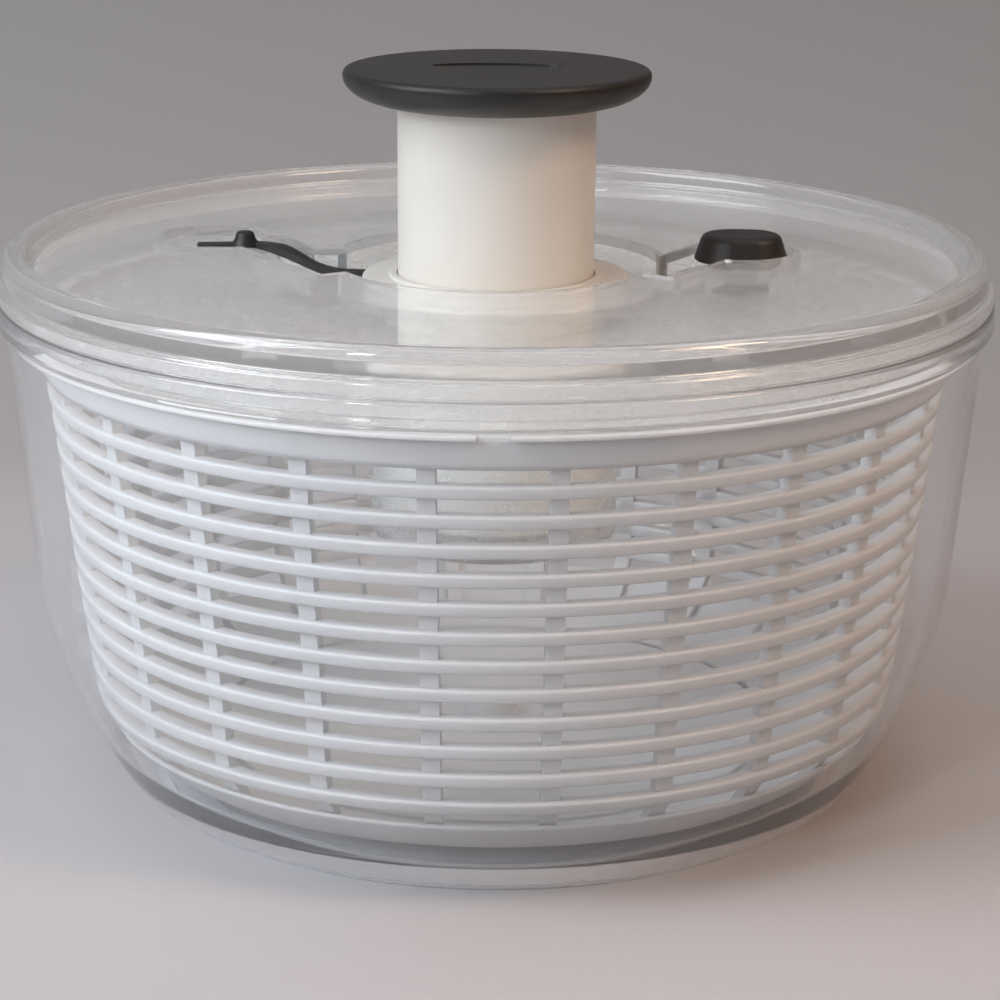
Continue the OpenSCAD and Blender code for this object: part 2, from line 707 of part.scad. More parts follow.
module clutch_pawls() {
    pawl_t = driver_h - 2.8;
    color("silver") for (i = [0 : 2]) rotate([0, 0, i * 120]) translate([driver_r - 2.4, 0, driver_low + 1.4])
        difference() {
            union() {
                cylinder(r = 1.7, h = pawl_t, $fn = 32);
                rotate([0, 0, 62]) translate([0, -1.1, 0]) cube([6.4, 2.2, pawl_t]);
            }
            translate([0, 0, -1]) cylinder(r = 0.82, h = pawl_t + 2, $fn = 24);
        }
}

module pawl_pins() {
    color("silver") ring_of(3, driver_r - 2.4) translate([0, 0, driver_low])
        cylinder(r = 0.8, h = driver_h, $fn = 24);
}

// Ring of ratchet teeth pressed in the floor of the cup
module clutch_ring() {
    step = 360 / ratchet_teeth;
    teeth = [for (i = [0 : ratchet_teeth - 1], k = [0, 1])
        let (a = i * step + k * (step - 4), r = k == 0 ? ratchet_r : ratchet_r - tooth_depth)
            r * [cos(a), sin(a)]];
    color("dimgray") translate([0, 0, cup_floor_top]) difference() {
        cylinder(r = clutch_ring_r, h = ring_h - 0.6);
        translate([0, 0, -1]) linear_extrude(height = ring_h + 2) polygon(teeth);
    }
}

module thrust_washer() {
    color("silver") translate([0, 0, cup_low - washer_t - 0.1]) tube(washer_r, screw_r + 0.1, washer_t);
}

module shaft_screw() {
    color("silver") translate([0, 0, cup_low - washer_t - 0.1])
        screw(driver_low + 7 - cup_low + washer_t, screw_r, screw_head_r + 1, screw_head_t);
}

// Clear disc that covers the basket, with a cup round the housing and lugs for the basket's rim
module drive_plate() {
    color([0.85, 0.88, 0.9, 0.5]) difference() {
        union() {
            translate([0, 0, disc_low]) cylinder(r = disc_r, h = disc_t, $fn = 180);
            translate([0, 0, disc_low - 4]) tube(disc_r, disc_r - 2, 4 + eps);
            ring_of(notch_count, disc_r - 6) translate([0, -lug_w / 2, disc_low + 0.5])
                cube([5.5, lug_w, lug_top - disc_low - 0.5]);
            ring_of(notch_count, disc_r - 6) translate([0, -lug_w / 2, lug_top - lug_t])
                cube([basket_rim_r - 1.5 - disc_r + 6, lug_w, lug_t]);
            translate([0, 0, cup_low]) cylinder(r = cup_out_r, h = disc_low - cup_low + eps);
        }
        translate([0, 0, cup_floor_top]) cylinder(r = cup_in_r, h = disc_top - cup_floor_top + 1);
        translate([0, 0, cup_low - 1]) cylinder(r = screw_r + 0.4, h = 6, $fn = 24);
    }
}

bowl();
base_ring();
basket();
lid_shell();
hub_collar();
mechanism_housing();
housing_screws();
shaft_bush();
lock_lever();
brake_button();
brake_pad();
brake_clip();
brake_spring();
knob_cap();
knob_core();
knob_screws();
plunger_tube();
drive_nut();
nut_retainer();
return_spring();
twisted_shaft();
clutch_driver();
clutch_pawls();
pawl_pins();
thrust_washer();
shaft_screw();
drive_plate();
clutch_ring();
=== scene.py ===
import math

import bpy
from mathutils import Matrix, Vector


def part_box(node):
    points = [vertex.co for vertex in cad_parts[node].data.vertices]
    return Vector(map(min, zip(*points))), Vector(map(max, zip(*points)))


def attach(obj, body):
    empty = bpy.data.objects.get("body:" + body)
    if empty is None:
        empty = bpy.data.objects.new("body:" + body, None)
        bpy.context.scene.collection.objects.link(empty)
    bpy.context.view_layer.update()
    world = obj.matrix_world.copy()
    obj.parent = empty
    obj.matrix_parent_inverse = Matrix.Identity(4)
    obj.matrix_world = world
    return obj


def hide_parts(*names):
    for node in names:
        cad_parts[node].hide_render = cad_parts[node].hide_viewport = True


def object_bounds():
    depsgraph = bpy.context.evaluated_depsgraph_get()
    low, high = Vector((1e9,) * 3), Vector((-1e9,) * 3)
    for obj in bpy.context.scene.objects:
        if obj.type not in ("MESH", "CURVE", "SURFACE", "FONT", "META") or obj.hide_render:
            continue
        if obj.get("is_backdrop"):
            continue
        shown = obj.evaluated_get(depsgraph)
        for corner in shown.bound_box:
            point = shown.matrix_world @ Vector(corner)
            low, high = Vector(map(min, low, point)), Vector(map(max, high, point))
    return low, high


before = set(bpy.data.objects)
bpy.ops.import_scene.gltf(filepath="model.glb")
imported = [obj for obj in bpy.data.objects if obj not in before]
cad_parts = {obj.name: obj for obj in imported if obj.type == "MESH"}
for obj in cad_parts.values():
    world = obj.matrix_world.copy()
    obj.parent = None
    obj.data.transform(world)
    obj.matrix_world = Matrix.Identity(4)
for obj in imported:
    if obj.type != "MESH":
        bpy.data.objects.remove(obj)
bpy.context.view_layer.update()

# ---------------------------------------------------------------- The table and the room
# A pale cloth-covered table that curves up into a wall. Its colour grows darker towards the back: partly
# the wall's own grey, partly painted shade. A cool window on the left and a warm lamp on the right. The
# spinner stands on the table at z = 0.
mm = 0.001


def look_from(place, pitch_down, roll):
    """A camera at a place, looking along +Y, tipped down and rolled by some degrees."""
    bpy.ops.object.camera_add(location=place)
    camera = bpy.context.object
    turn = Matrix.Rotation(math.radians(90 - pitch_down), 3, "X") @ Matrix.Rotation(math.radians(roll), 3, "Z")
    camera.rotation_euler = turn.to_euler()
    camera.data.sensor_width = 36
    camera.data.lens = 101.2
    camera.data.clip_start = 0.02
    camera.data.clip_end = 20
    bpy.context.scene.camera = camera
    bpy.context.scene.view_settings.view_transform = "Standard"


def softbox(name, place, aim, size, watts, colour):
    """A square lamp of some size in metres, turned towards a point."""
    bpy.ops.object.light_add(type="AREA", location=place)
    lamp = bpy.context.object
    lamp.name = name
    lamp.rotation_euler = (Vector(aim) - Vector(place)).to_track_quat("-Z", "Y").to_euler()
    lamp.data.shape = "RECTANGLE"
    lamp.data.size, lamp.data.size_y = size
    lamp.data.energy = watts
    lamp.data.color = colour


look_from((0.0016, -0.750, 0.2937), 16.22, 0.43)
softbox("window", (-1.15, -0.55, 1.05), (0, 0, 0.1), (0.9, 1.1), 18, (0.90, 0.95, 1.0))
softbox("window_strip", (-0.55, -1.0, 0.62), (0, -0.1, 0.14), (0.10, 0.30), 2.0, (0.95, 0.98, 1.0))
softbox("warm_lamp", (0.75, -0.45, 1.0), (0.15, -0.1, 0.0), (0.35, 0.35), 4.5, (1.0, 0.70, 0.48))
softbox("ceiling", (0.1, 0.2, 1.7), (0, 0, 0), (1.6, 1.6), 6, (0.98, 0.98, 1.0))

world = bpy.data.worlds.new("room")
bpy.context.scene.world = world
world.use_nodes = True
world.node_tree.nodes["Background"].inputs["Color"].default_value = (0.50, 0.50, 0.54, 1)
world.node_tree.nodes["Background"].inputs["Strength"].default_value = 0.32

table_front, wall_y, sweep_r, wall_h = -1.6, 0.62, 0.30, 1.5
bpy.ops.object.select_all(action="DESELECT")
bpy.ops.mesh.primitive_plane_add(size=1, location=(0, 0, 0))
backdrop = bpy.context.object
backdrop.name = "table_and_wall"
backdrop.scale = (4.0, wall_y - sweep_r - table_front, 1)
backdrop.location = (0, (wall_y - sweep_r + table_front) / 2, 0)
bpy.ops.object.transform_apply(location=True, rotation=True, scale=True)
bpy.ops.object.mode_set(mode="EDIT")
bpy.ops.mesh.select_mode(type="EDGE")
bpy.ops.mesh.select_all(action="DESELECT")
bpy.ops.object.mode_set(mode="OBJECT")
for edge in backdrop.data.edges:
    edge.select = all(backdrop.data.vertices[v].co.y > wall_y - sweep_r - 0.01 for v in edge.vertices)
bpy.ops.object.mode_set(mode="EDIT")
sweep_steps = 24
for i in range(sweep_steps):
    a0, a1 = (math.pi / 2 * k / sweep_steps for k in (i, i + 1))
    bpy.ops.mesh.extrude_region_move(TRANSFORM_OT_translate={"value": (
        0, sweep_r * (math.sin(a1) - math.sin(a0)), sweep_r * (math.cos(a0) - math.cos(a1)))})
bpy.ops.mesh.extrude_region_move(TRANSFORM_OT_translate={"value": (0, 0, wall_h)})
bpy.ops.mesh.select_all(action="SELECT")
bpy.ops.mesh.normals_make_consistent(inside=False)
bpy.ops.object.mode_set(mode="OBJECT")
bpy.ops.object.shade_smooth()
cloth = bpy.data.materials.new("pale_cloth")
cloth.use_nodes = True
cloth_nodes = cloth.node_tree.nodes
cloth_nodes["Principled BSDF"].inputs["Roughness"].default_value = 0.9
cloth_place = cloth_nodes.new("ShaderNodeTexCoord")
cloth_split = cloth_nodes.new("ShaderNodeSeparateXYZ")
# Painted shade: by its Y coordinate the colour goes from the pale cloth to a darker grey towards the back, partly the
# wall's own grey and partly painted shade where less lamp light reaches.
wall_tone_and_shade_ramp = cloth_nodes.new("ShaderNodeMapRange")
wall_tone_and_shade_ramp.inputs["From Min"].default_value, wall_tone_and_shade_ramp.inputs["From Max"].default_value = 0.15, 0.60
wall_tone_and_shade_mix = cloth_nodes.new("ShaderNodeMix")
wall_tone_and_shade_mix.data_type = "RGBA"
wall_tone_and_shade_mix.inputs["A"].default_value = (0.56, 0.535, 0.545, 1)
wall_tone_and_shade_mix.inputs["B"].default_value = (0.29, 0.285, 0.29, 1)
for source, target in ((cloth_place.outputs["Object"], cloth_split.inputs[0]),
                       (cloth_split.outputs["Y"], wall_tone_and_shade_ramp.inputs["Value"]),
                       (wall_tone_and_shade_ramp.outputs["Result"], wall_tone_and_shade_mix.inputs["Factor"]),
                       (wall_tone_and_shade_mix.outputs["Result"], cloth_nodes["Principled BSDF"].inputs["Base Color"])):
    cloth.node_tree.links.new(source, target)
backdrop.data.materials.append(cloth)
backdrop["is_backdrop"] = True

bpy.ops.mesh.primitive_plane_add(size=1, location=(0.62, -0.2, 0.3), rotation=(0, -math.pi / 2, 0))
cupboard = bpy.context.object
cupboard.name = "wooden_cupboard"
cupboard.scale = (0.6, 1.4, 1)
bpy.ops.object.transform_apply(location=True, rotation=True, scale=True)
wood = bpy.data.materials.new("brown_wood")
wood.use_nodes = True
wood.node_tree.nodes["Principled BSDF"].inputs["Base Color"].default_value = (0.22, 0.10, 0.045, 1)
wood.node_tree.nodes["Principled BSDF"].inputs["Roughness"].default_value = 0.6
cupboard.data.materials.append(wood)
cupboard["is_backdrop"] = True

# ---------------------------------------------------------------- Bowl and foot ring
# A deep bowl moulded in clear SAN, with a curved foot, a rounded rim band and a blunt pin
# in the middle of the floor that the basket turns on. A soft grey ring is pressed into a
# groove under the floor so that the bowl doesn't slide.


def rounded(corners, arc_steps=5):
    """Corners (r, z, radius) joined into an outline, each corner rounded to its radius."""
    points = []
    for i, (r, z, radius) in enumerate(corners):
        corner = Vector((r, z))
        if not radius:
            points.append(corner)
            continue
        back = (Vector(corners[i - 1][:2]) - corner).normalized()
        ahead = (Vector(corners[(i + 1) % len(corners)][:2]) - corner).normalized()
        half = back.angle(ahead) / 2
        centre = corner + (back + ahead).normalized() * radius / math.sin(half)
        arm = corner + back * radius / math.tan(half) - centre
        end = corner + ahead * radius / math.tan(half) - centre
        sweep = math.atan2(arm.x * end.y - arm.y * end.x, arm.dot(end))
        for k in range(arc_steps + 1):
            c, s = math.cos(sweep * k / arc_steps), math.sin(sweep * k / arc_steps)
            points.append(centre + Vector((arm.x * c - arm.y * s, arm.x * s + arm.y * c)))
    return points


def turned(name, outline, steps=180, around=(0, 0), ring=False):
    """A turned solid: one point pulled along the outline (in mm), then spun round the axis. A ring's outline closes."""
    bpy.ops.object.select_all(action="DESELECT")
    bpy.ops.mesh.primitive_plane_add(size=0.01, location=(0, 0, 0))
    piece = bpy.context.object
    piece.name = piece.data.name = name
    bpy.ops.object.mode_set(mode="EDIT")
    bpy.ops.mesh.select_mode(type="VERT")
    bpy.ops.mesh.select_all(action="SELECT")
    bpy.ops.mesh.merge(type="CENTER")
    here = Vector((0, 0))
    for i, point in enumerate(outline + outline[:1] if ring else outline):
        point = Vector(point)
        step = ((point.x - here.x) * mm, 0, (point.y - here.y) * mm)
        if i == 0:
            bpy.ops.transform.translate(value=step)
        else:
            bpy.ops.mesh.extrude_region_move(TRANSFORM_OT_translate={"value": step})
        here = point
    bpy.ops.mesh.select_all(action="SELECT")
    bpy.ops.mesh.spin(steps=steps, angle=2 * math.pi, center=(0, 0, 0), axis=(0, 0, 1))
    bpy.ops.mesh.select_all(action="SELECT")
    bpy.ops.mesh.remove_doubles(threshold=0.00002)
    bpy.ops.mesh.normals_make_consistent(inside=False)
    bpy.ops.transform.translate(value=(around[0] * mm, around[1] * mm, 0))
    bpy.ops.object.mode_set(mode="OBJECT")
    bpy.ops.object.shade_smooth_by_angle(angle=math.radians(38))
    return piece


def nodes_for(name):
    """A new material with object coordinates, its shader and a maker of nodes."""
    material = bpy.data.materials.new(name)
    material.use_nodes = True
    tree = material.node_tree
    shader = tree.nodes["Principled BSDF"]

    def add(kind, **settings):
        node = tree.nodes.new(kind)
        for key, value in settings.items():
            if key in node.inputs:
                node.inputs[key].default_value = value
            else:
                setattr(node, key, value)
        return node

    place = tree.nodes.new("ShaderNodeTexCoord").outputs["Object"]
    return material, tree, shader, add, place


def ramp_between(tree, add, source, low, high, at=(0.35, 0.65)):
    """A Map Range that turns a 0 to 1 pattern into low to high."""
    node = add("ShaderNodeMapRange")
    node.inputs["From Min"].default_value, node.inputs["From Max"].default_value = at
    node.inputs["To Min"].default_value, node.inputs["To Max"].default_value = low, high
    tree.links.new(source, node.inputs["Value"])
    return node.outputs["Result"]


def clear_plastic(name, tint, smooth, scuffed, depth, clarity):
    """Clear moulded plastic: a faint haze, soft waves, rubbed patches, and light let through to what it covers."""
    material, tree, shader, add, place = nodes_for(name)
    shader.inputs["Base Color"].default_value = (*tint, 1)
    shader.inputs["IOR"].default_value = 1.57
    shader.inputs["Transmission Weight"].default_value = clarity
    stretch = add("ShaderNodeMapping")
    stretch.inputs["Scale"].default_value = (160, 240, 200)
    stretch.inputs["Rotation"].default_value = (0.4, 0.2, 0.9)
    tree.links.new(place, stretch.inputs["Vector"])
    rubbed = add("ShaderNodeTexNoise", Scale=1.0, Detail=3.0)
    tree.links.new(stretch.outputs[0], rubbed.inputs["Vector"])
    tree.links.new(ramp_between(tree, add, rubbed.outputs[0], smooth, scuffed, (0.52, 0.78)),
                   shader.inputs["Roughness"])
    waves = add("ShaderNodeTexNoise", Scale=16.0, Detail=0.0)
    tree.links.new(place, waves.inputs["Vector"])
    bump = add("ShaderNodeBump", Strength=0.2, Distance=depth)
    tree.links.new(waves.outputs[0], bump.inputs["Height"])
    tree.links.new(bump.outputs[0], shader.inputs["Normal"])
    let_through = add("ShaderNodeBsdfTransparent")
    let_through.inputs["Color"].default_value = (0.93, 0.94, 0.95, 1)
    rays = add("ShaderNodeLightPath")
    mix = add("ShaderNodeMixShader")
    tree.links.new(rays.outputs["Is Shadow Ray"], mix.inputs["Fac"])
    tree.links.new(shader.outputs[0], mix.inputs[1])
    tree.links.new(let_through.outputs[0], mix.inputs[2])
    tree.links.new(mix.outputs[0], tree.nodes["Material Output"].inputs["Surface"])
    return material


def moulded(name, colour, worn_colour, roughness, grain=0.00004, grain_scale=900.0, soft=0.0, metal=0.0,
            patch_scale=14.0):
    """An opaque finish: two close colours in soft patches, uneven gloss and a fine grain."""
    material, tree, shader, add, place = nodes_for(name)
    shader.inputs["Metallic"].default_value = metal
    if soft:
        shader.inputs["Subsurface Weight"].default_value = soft
        shader.inputs["Subsurface Radius"].default_value = (1.0, 0.95, 0.9)
        shader.inputs["Subsurface Scale"].default_value = 0.003
    patches = add("ShaderNodeTexNoise", Scale=patch_scale, Detail=4.0)
    tree.links.new(place, patches.inputs["Vector"])
    blend = add("ShaderNodeMix", data_type="RGBA")
    blend.inputs["A"].default_value = (*colour, 1)
    blend.inputs["B"].default_value = (*worn_colour, 1)
    tree.links.new(ramp_between(tree, add, patches.outputs[0], 0.0, 1.0), blend.inputs["Factor"])
    tree.links.new(blend.outputs["Result"], shader.inputs["Base Color"])
    fine = add("ShaderNodeTexNoise", Scale=grain_scale, Detail=2.0)
    tree.links.new(place, fine.inputs["Vector"])
    tree.links.new(ramp_between(tree, add, patches.outputs[0], roughness * 0.88, roughness * 1.12),
                   shader.inputs["Roughness"])
    bump = add("ShaderNodeBump", Strength=0.5, Distance=grain)
    tree.links.new(fine.outputs[0], bump.inputs["Height"])
    tree.links.new(bump.outputs[0], shader.inputs["Normal"])
    return material


def finish_piece(piece, material, body, slot, *nodes):
    """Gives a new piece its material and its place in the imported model."""
    piece.data.materials.clear()
    piece.data.materials.append(material)
    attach(piece, body)
    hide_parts(*nodes)


bowl_low, bowl_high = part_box("bowl")
foot_z, rim_z, rim_r = bowl_low.z / mm, bowl_high.z / mm, bowl_high.x / mm
bowl_wall, bowl_floor, foot_r, curve_z, wall_slope = 3.0, 3.5, 100.5, 70.0, 0.088
band_z = rim_z - 5.7
curve_r = rim_r - 2 - wall_slope * (band_z - curve_z)


def bowl_radius(z):
    if z >= curve_z:
        return curve_r + wall_slope * (z - curve_z)
    return curve_r - (curve_r - foot_r) * ((curve_z - z) / curve_z) ** 1.8


ring_low, ring_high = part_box("base_ring")
ring_out, ring_in, groove_z = ring_high.x / mm, ring_high.x / mm - 7, foot_z + 1.6
floor_z = foot_z + bowl_floor
pin_r, pin_top = 4.0, floor_z + 12.5
curve_heights = [6.5, 9, 12, 16, 20, 25, 30, 36, 42, 48, 55, 62, 70, 85, 100, 115]
outside = rounded([(0, foot_z, 0), (ring_in, foot_z, 0.3), (ring_in, groove_z, 0), (ring_out, groove_z, 0),
                   (ring_out, foot_z, 0.3), (foot_r - 4.2, foot_z, 3.5), (bowl_radius(4.2) + 0.1, 5.0, 0)])
outside += [Vector((bowl_radius(z), z)) for z in curve_heights]
outside += rounded([(bowl_radius(115), 115, 0), (rim_r - 2.3, band_z - 3.4, 3), (rim_r - 1.9, band_z - 1.6, 0.6),
                    (rim_r, band_z, 0.8), (rim_r, rim_z, 1.1), (129.1, rim_z, 0.8),
                    (bowl_radius(band_z) - bowl_wall, band_z, 2), (bowl_radius(115) - bowl_wall, 115, 0)])[1:-1]
inside = [Vector((bowl_radius(z) - bowl_wall, z)) for z in reversed(curve_heights) if z > 13]
inside += rounded([(bowl_radius(16) - bowl_wall, 16, 0), (foot_r - 3.5, floor_z, 8), (11.5, floor_z, 2),
                   (pin_r + 1.2, 8.6, 1.5), (pin_r, 9.8, 1), (pin_r, pin_top - 3.9, 0), (pin_r, pin_top, 3.6),
                   (0, pin_top, 0)], 8)[1:]
bowl = turned("bowl_shell", outside + inside, 192)
clear_shell = clear_plastic("clear_moulded", (0.955, 0.965, 0.975), 0.015, 0.09, 0.0004, 0.94)
finish_piece(bowl, clear_shell, "bowl", "clear_shell", "bowl")

foot_ring = turned("foot_ring", rounded([
    (ring_in + 0.05, ring_low.z / mm, 0.5), (ring_out - 0.05, ring_low.z / mm, 0.5),
    (ring_out - 0.05, groove_z, 0), (ring_in + 0.05, groove_z, 0)]), 144, ring=True)
finish_piece(foot_ring, moulded("soft_grey", (0.55, 0.56, 0.58), (0.46, 0.47, 0.49), 0.55, soft=0.2),
             "bowl", "soft_clear", "base_ring")

# ---------------------------------------------------------------- Slotted basket
# A basket moulded in milky polypropylene: thirteen rows of slots between deep hoops that
# upright ribs join from behind, a plain band and a rolled rim at the mouth with four notches for the
# drive plate, and a socket in the floor that drops on the bowl's pin.


def boolean(piece, tool, operation="DIFFERENCE"):
    """Cuts or joins a tool solid into a piece and clears the tool away."""
    modifier = piece.modifiers.new("join", "BOOLEAN")
    modifier.operation, modifier.solver, modifier.object = operation, "EXACT", tool
    bpy.context.view_layer.objects.active = piece
    bpy.ops.object.modifier_apply(modifier="join")
    bpy.data.objects.remove(tool)


def merged(piece, gap=0.00002):
    """Merges the doubles and slivers that a cut leaves."""
    bpy.ops.object.select_all(action="DESELECT")
    piece.select_set(True)
    bpy.context.view_layer.objects.active = piece
    bpy.ops.object.mode_set(mode="EDIT")
    bpy.ops.mesh.select_all(action="SELECT")
    bpy.ops.mesh.remove_doubles(threshold=gap)
    bpy.ops.mesh.dissolve_degenerate(threshold=gap)
    bpy.ops.object.mode_set(mode="OBJECT")


def block(low, high, turn=0.0, pivot=(0, 0), edge=0.0):
    """A box between two corners in mm, its edges eased, turned about a pivot."""
    bpy.ops.object.select_all(action="DESELECT")
    middle = (Vector(low) + Vector(high)) / 2
    bpy.ops.mesh.primitive_cube_add(size=1, location=middle * mm)
    box = bpy.context.object
    box.scale = (Vector(high) - Vector(low)) * mm
    bpy.ops.object.transform_apply(location=True, rotation=True, scale=True)
    if edge:
        bpy.ops.object.mode_set(mode="EDIT")
        bpy.ops.mesh.select_all(action="SELECT")
        bpy.ops.mesh.bevel(offset=edge * mm, segments=3, affect="EDGES")
        bpy.ops.object.mode_set(mode="OBJECT")
    spot = Vector((pivot[0], pivot[1], 0)) * mm
    box.data.transform(Matrix.Translation(spot) @ Matrix.Rotation(math.radians(turn), 4, "Z")
                       @ Matrix.Translation(-spot))
    return box


def eased(piece, width, angle=32, segments=2):
    """Rounds every sharp edge of a piece by a small bevel and shades it smooth."""
    bpy.ops.object.select_all(action="DESELECT")
    piece.select_set(True)
    bpy.context.view_layer.objects.active = piece
    bevel = piece.modifiers.new("ease", "BEVEL")
    bevel.width, bevel.segments, bevel.limit_method = width * mm, segments, "ANGLE"
    bevel.angle_limit = math.radians(angle)
    bpy.ops.object.modifier_apply(modifier="ease")
    bpy.ops.object.shade_smooth_by_angle(angle=math.radians(38))
    flatten = piece.modifiers.new("flatten", "WEIGHTED_NORMAL")
    flatten.keep_sharp, flatten.weight = True, 100
    bpy.ops.object.modifier_apply(modifier="flatten")


basket_low, basket_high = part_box("basket")
basket_z, mouth_z, basket_rim = basket_low.z / mm, basket_high.z / mm, basket_high.x / mm
mouth_r, basket_wall, basket_slope = basket_rim - 2.6, 1.8, 0.115
curve_base_z = basket_z + 27
curve_base_r = mouth_r - basket_slope * (mouth_z - curve_base_z)
basket_floor_r = foot_r - 10


def basket_radius(z):
    if z >= curve_base_z:
        return mouth_r - basket_slope * (mouth_z - z)
    return curve_base_r - (curve_base_r - basket_floor_r) * ((curve_base_z - z) / 27) ** 2.4


slot_rows, hoop_h, hoop_depth, rib_count, rib_w, rib_back = 13, 3.4, 4.5, 24, 4.5, 1.5
first_row, last_row = basket_z + 12, mouth_z - 8
row_pitch = (last_row - first_row) / slot_rows


def wall_band(low, high, depth, ease, back=0.0):
    """Corners of a band of wall between two heights, going back inwards by its depth."""
    return [(basket_radius(low) - back - depth, low, ease), (basket_radius(low) - back, low, ease),
            (basket_radius(high) - back, high, ease), (basket_radius(high) - back - depth, high, ease)]


basket_parts = []
for k in range(1, slot_rows):
    middle = first_row + k * row_pitch
    basket_parts.append(turned("hoop", rounded(wall_band(middle - hoop_h / 2, middle + hoop_h / 2, hoop_depth, 0.7), 3),
                               168, ring=True))
ledge_z = last_row - hoop_h / 2
basket_parts.append(turned("ledge_hoop", rounded(wall_band(ledge_z, ledge_z + 1.2, hoop_depth, 0.4), 2), 168, ring=True))
basket_parts.append(turned("mouth_band", rounded(wall_band(ledge_z, mouth_z - 0.5, basket_wall, 0.4), 3), 168, ring=True))
cup_top = first_row + hoop_h / 2
cup_heights = [basket_z + 0.9, basket_z + 2.6, basket_z + 5, basket_z + 8, basket_z + 11, cup_top]
basket_parts.append(turned("basket_cup", rounded(
    [(basket_floor_r - 14, basket_z, 0)] + [(basket_radius(basket_z) - 3.5, basket_z, 2.5)]
    + [(basket_radius(z), z, 0) for z in cup_heights[1:-1]] + [(basket_radius(cup_top), cup_top, 0.6),
    (basket_radius(cup_top) - basket_wall, cup_top, 0.6)]
    + [(basket_radius(z) - basket_wall, z, 0) for z in cup_heights[-2:1:-1]]
    + [(basket_floor_r - 9, basket_z + 2.2, 4), (basket_floor_r - 14, basket_z + 2.2, 0)], 4), 168, ring=True))
rib_heights = [basket_z + 3 + (ledge_z + 0.6 - basket_z - 3) * i / 14 for i in range(15)]
rib = block((basket_radius(rib_heights[0]) - hoop_depth, -rib_w / 2, rib_heights[0] - 0.1),
            (basket_radius(rib_heights[0]) - rib_back, rib_w / 2, rib_heights[0]))
bpy.ops.object.mode_set(mode="EDIT")
bpy.ops.mesh.select_mode(type="FACE")
bpy.ops.mesh.select_all(action="DESELECT")
bpy.ops.object.mode_set(mode="OBJECT")
for face in rib.data.polygons:
    face.select = face.normal.z > 0.9
bpy.ops.object.mode_set(mode="EDIT")
for low_z, high_z in zip(rib_heights, rib_heights[1:]):
    bpy.ops.mesh.extrude_region_move(TRANSFORM_OT_translate={"value": (
        (basket_radius(high_z) - basket_radius(low_z)) * mm, 0, (high_z - low_z) * mm)})
bpy.ops.object.mode_set(mode="OBJECT")
eased(rib, 0.5, 40, 2)
for k in range(rib_count):
    other = rib.copy()
    other.data = rib.data.copy()
    bpy.context.collection.objects.link(other)
    other.data.transform(Matrix.Rotation(2 * math.pi * (k + 0.5) / rib_count, 4, "Z"))
    basket_parts.append(other)
bpy.data.objects.remove(rib)
basket_rim_ring = turned("basket_rim", rounded([
    (mouth_r - 1.9, mouth_z, 0.5), (basket_rim, mouth_z, 0.7), (basket_rim, mouth_z - 1.8, 0.5),
    (mouth_r - 1.9, mouth_z - 1.8, 0.3)]), 168, ring=True)
notch_w = 8
for quarter in range(4):
    boolean(basket_rim_ring, block((basket_rim - 6, -notch_w / 2, mouth_z - 2.2),
                                   (basket_rim + 6, notch_w / 2, mouth_z + 2), quarter * 90))
basket_floor = turned("basket_floor", rounded([
    (0, basket_z + 8.6, 0), (pin_r + 2.5, basket_z + 8.6, 1), (pin_r + 2.5, basket_z + 2.2, 1.5),
    (basket_floor_r - 12, basket_z + 2.2, 0.2), (basket_floor_r - 12, basket_z, 0.2), (pin_r + 0.06, basket_z, 0.3),
    (pin_r + 0.06, pin_top + 0.3, 0), (0, pin_top + 0.3, 0)]), 96)
bpy.ops.object.select_all(action="DESELECT")
basket = basket_floor
for part in basket_parts + [basket_rim_ring, basket_floor]:
    part.select_set(True)
bpy.context.view_layer.objects.active = basket
bpy.ops.object.join()
basket.name = basket.data.name = "slotted_basket"
finish_piece(basket, moulded("milky_plastic", (0.60, 0.60, 0.61), (0.55, 0.55, 0.56), 0.36, soft=0.35),
             "basket", "basket_plastic", "basket")

# ---------------------------------------------------------------- Drive plate
# A clear, slightly hazy disc under the lid that closes the basket. Its deep cup hangs round
# the mechanism, four lugs drop into the notches of the basket's rim, and a ratchet ring is
# pressed into the cup's floor.
plate_low, plate_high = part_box("drive_plate")
cup_z, disc_z = plate_low.z / mm, plate_high.z / mm
disc_t, cup_out, cup_in, cup_floor = 2.4, 33.8, 31.8, 2.4
disc_top = 126.5
disc_low = disc_top - disc_t
disc_r = basket_radius(disc_low) - basket_wall - 1.2
disc = turned("drive_disc", rounded([
    (1.9, cup_z + cup_floor, 0), (1.9, cup_z, 0), (cup_out, cup_z, 1.5), (cup_out, disc_low, 1.2),
    (disc_r - 2, disc_low, 1.0), (disc_r - 2, disc_low - 4, 0.6), (disc_r, disc_low - 4, 0.6), (disc_r, disc_top, 0.9),
    (cup_in, disc_top, 1.2), (cup_in, cup_z + cup_floor, 1.0)]), 180, ring=True)
lug_w = 7
for quarter in range(4):
    for low, high in (((disc_r - 6, -lug_w / 2, disc_low + 0.5), (disc_r - 0.5, lug_w / 2, disc_z)),
                      ((disc_r - 6, -lug_w / 2, disc_z - 2), (basket_rim - 1.5, lug_w / 2, disc_z))):
        boolean(disc, block(low, high, quarter * 90, edge=0.3), "UNION")
bpy.ops.object.select_all(action="DESELECT")
disc.select_set(True)
bpy.context.view_layer.objects.active = disc
bpy.ops.object.shade_smooth_by_angle(angle=math.radians(38))
hazy = clear_plastic("hazy_moulded", (0.88, 0.88, 0.87), 0.24, 0.34, 0.0003, 0.78)
finish_piece(disc, hazy, "drive_plate", "clear_disc", "drive_plate")


def repaint(material, *names):
    """Gives carried-over nodes a better material."""
    for name in names:
        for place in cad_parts[name].material_slots:
            place.material = material


tough_black = moulded("tough_black", (0.022, 0.022, 0.024), (0.032, 0.031, 0.031), 0.34)
repaint(tough_black, "clutch_ring", "clutch_driver", "drive_nut")

